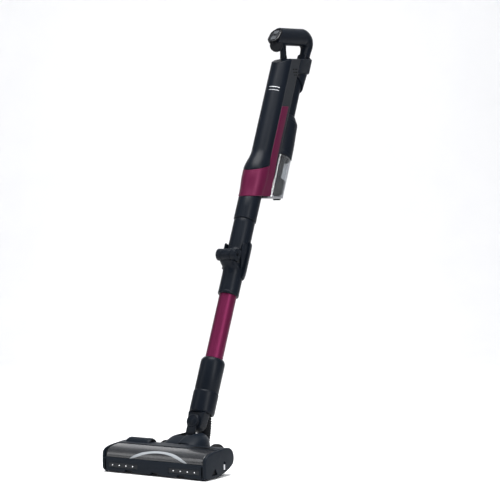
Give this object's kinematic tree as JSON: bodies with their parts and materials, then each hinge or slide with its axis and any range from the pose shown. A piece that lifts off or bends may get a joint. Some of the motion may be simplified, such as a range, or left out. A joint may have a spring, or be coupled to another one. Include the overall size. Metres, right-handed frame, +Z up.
{
  "type": "cordless stick vacuum",
  "caption": "Cordless stick vacuum: loop handle, clear dust bin, folding wand and a powered floor head on a swivelling neck.",
  "frame": {"origin": "on the floor, under the middle of the floor head, on the underside of the centre glide pad", "axes": "+X to the machine's right, +Y backwards from the head's nose, +Z up; the wand leans back 23 degrees from +Z"},
  "size_m": [0.2613, 0.6429, 0.9722],
  "materials": {
    "satin_black": "satin",
    "charcoal": "matte",
    "burgundy": "metallic gloss",
    "burgundy_metal": "metallic satin",
    "clear_bin": "clear",
    "smoky_window": "smoky clear",
    "display_glass": "gloss",
    "dark_trim": "gloss",
    "grey_keys": "satin",
    "pale_trim": "satin",
    "soft_rubber": "textured",
    "hose_green": "ribbed",
    "wheel_plastic": "soft",
    "felt": "felt",
    "lamp": "frosted",
    "cell_wrap": "satin",
    "inner_plastic": "matte",
    "board": "satin",
    "filter_media": "pleated",
    "steel": "satin",
    "bristle": "fibre"
  },
  "bodies": {
    "hand_unit": {"chassis": "charcoal", "front_cover": "satin_black", "top_plates": "satin_black", "side_trims": "burgundy", "inlet_block": "burgundy", "battery_cells": "cell_wrap", "inner_frames": "inner_plastic", "circuit_boards": "board", "motor_can": "steel", "filters": "filter_media", "duct_tube": "charcoal", "duct_collar": "satin_black", "rear_cover": "satin_black", "cyclone_cap": "satin_black", "cyclone_screen": "inner_plastic", "bin_cup": "clear_bin", "bin_seal": "soft_rubber", "door_bracket": "charcoal", "hinge_pins": "steel", "grip_shell": "satin_black", "handle_posts": "satin_black", "display_bezel": "dark_trim", "display_lens": "display_glass", "nose_pad": "soft_rubber", "upper_wand": "satin_black"},
    "impeller": {"impeller": "inner_plastic"},
    "bin_door": {"bin_door": "inner_plastic"},
    "bin_latch": {"bin_latch": "charcoal"},
    "power_button": {"power_button": "grey_keys"},
    "mode_button": {"mode_button": "grey_keys"},
    "wand_release": {"wand_release": "charcoal"},
    "fold_latch": {"fold_latch": "satin_black"},
    "lower_wand": {"lower_sleeve": "satin_black", "wand_tube": "burgundy_metal", "lower_collar": "satin_black", "swivel_block": "satin_black", "flex_hose": "hose_green"},
    "tube_release": {"tube_release": "charcoal"},
    "neck": {"neck_yoke": "satin_black", "neck_hose": "soft_rubber"},
    "head": {"head_housing": "satin_black", "hood": "satin_black", "sole_plate": "charcoal", "glide_pads": "felt", "bumper": "satin_black", "led_panels": "dark_trim", "led_lamps": "lamp", "window": "smoky_window", "window_arch": "pale_trim", "end_caps": "satin_black", "head_bearings": "steel", "wheel_axle": "steel", "brush_motor": "steel", "drive_belt": "soft_rubber"},
    "cap_lock": {"cap_lock": "charcoal"},
    "brush": {"brush_core": "inner_plastic", "brush_bristles": "bristle"},
    "motor_pulley": {"motor_pulley": "inner_plastic"},
    "wheel_left": {"wheel_left": "wheel_plastic"},
    "wheel_right": {"wheel_right": "wheel_plastic"}
  },
  "joints": [
    {"name": "impeller_spin", "type": "hinge", "parent": "hand_unit", "child": "impeller", "pos_m": [0, 0.44082, 0.83453], "axis": [0, 0.3907, 0.9205], "continuous": true},
    {"name": "door_swing", "type": "hinge", "parent": "hand_unit", "child": "bin_door", "pos_m": [0, 0.33278, 0.57053], "axis": [-1, 0, 0], "range_deg": [0, 80]},
    {"name": "door_latch", "type": "hinge", "parent": "hand_unit", "child": "bin_latch", "pos_m": [0, 0.42326, 0.59429], "axis": [1, 0, 0], "range_deg": [0, 7], "stiffness_Nm_per_rad": 0.02, "springref_deg": -5.73},
    {"name": "power_press", "type": "slide", "parent": "hand_unit", "child": "power_button", "axis": [0, 0.749, -0.6626], "range_m": [0, 0.0008], "stiffness_N_per_m": 400},
    {"name": "mode_press", "type": "slide", "parent": "hand_unit", "child": "mode_button", "axis": [0, 0.749, -0.6626], "range_m": [0, 0.0008], "stiffness_N_per_m": 400},
    {"name": "wand_release_press", "type": "slide", "parent": "hand_unit", "child": "wand_release", "axis": [0, -0.9205, 0.3907], "range_m": [0, 0.0012], "stiffness_N_per_m": 400},
    {"name": "fold_latch_slide", "type": "slide", "parent": "lower_wand", "child": "fold_latch", "axis": [0, -0.3907, -0.9205], "range_m": [0, 0.012], "stiffness_N_per_m": 150, "springref_m": -0.004},
    {"name": "wand_fold", "type": "hinge", "parent": "hand_unit", "child": "lower_wand", "pos_m": [0, 0.20995, 0.44366], "axis": [-1, 0, 0], "range_deg": [0, 90], "deforming": ["flex_hose"]},
    {"name": "tube_release_press", "type": "slide", "parent": "lower_wand", "child": "tube_release", "axis": [0, -0.9205, 0.3907], "range_m": [0, 0.0012], "stiffness_N_per_m": 400},
    {"name": "neck_swivel", "type": "hinge", "parent": "lower_wand", "child": "neck", "pos_m": [0, 0.09458, 0.08742], "axis": [0, 0.9205, -0.3907], "range_deg": [-40, 40], "deforming": ["neck_hose"]},
    {"name": "head_pitch", "type": "hinge", "parent": "neck", "child": "head", "pos_m": [0, 0.077, 0.046], "axis": [1, 0, 0], "range_deg": [-20, 60], "deforming": ["neck_hose"]},
    {"name": "cap_lock_slide", "type": "slide", "parent": "head", "child": "cap_lock", "axis": [0, 0, 1], "range_m": [0, 0.004]},
    {"name": "brush_spin", "type": "hinge", "parent": "head", "child": "brush", "pos_m": [0, -0.034, 0.0278], "axis": [1, 0, 0], "continuous": true},
    {"name": "motor_pulley_spin", "type": "hinge", "parent": "head", "child": "motor_pulley", "pos_m": [0, 0.01, 0.035], "axis": [1, 0, 0], "continuous": true},
    {"name": "wheel_left_spin", "type": "hinge", "parent": "head", "child": "wheel_left", "pos_m": [0, 0.064, 0.027], "axis": [1, 0, 0], "continuous": true},
    {"name": "wheel_right_spin", "type": "hinge", "parent": "head", "child": "wheel_right", "pos_m": [0, 0.064, 0.027], "axis": [1, 0, 0], "continuous": true}
  ],
  "couplings": [
    {"joint": "motor_pulley_spin", "follows": "brush_spin", "ratio": 2}
  ]
}
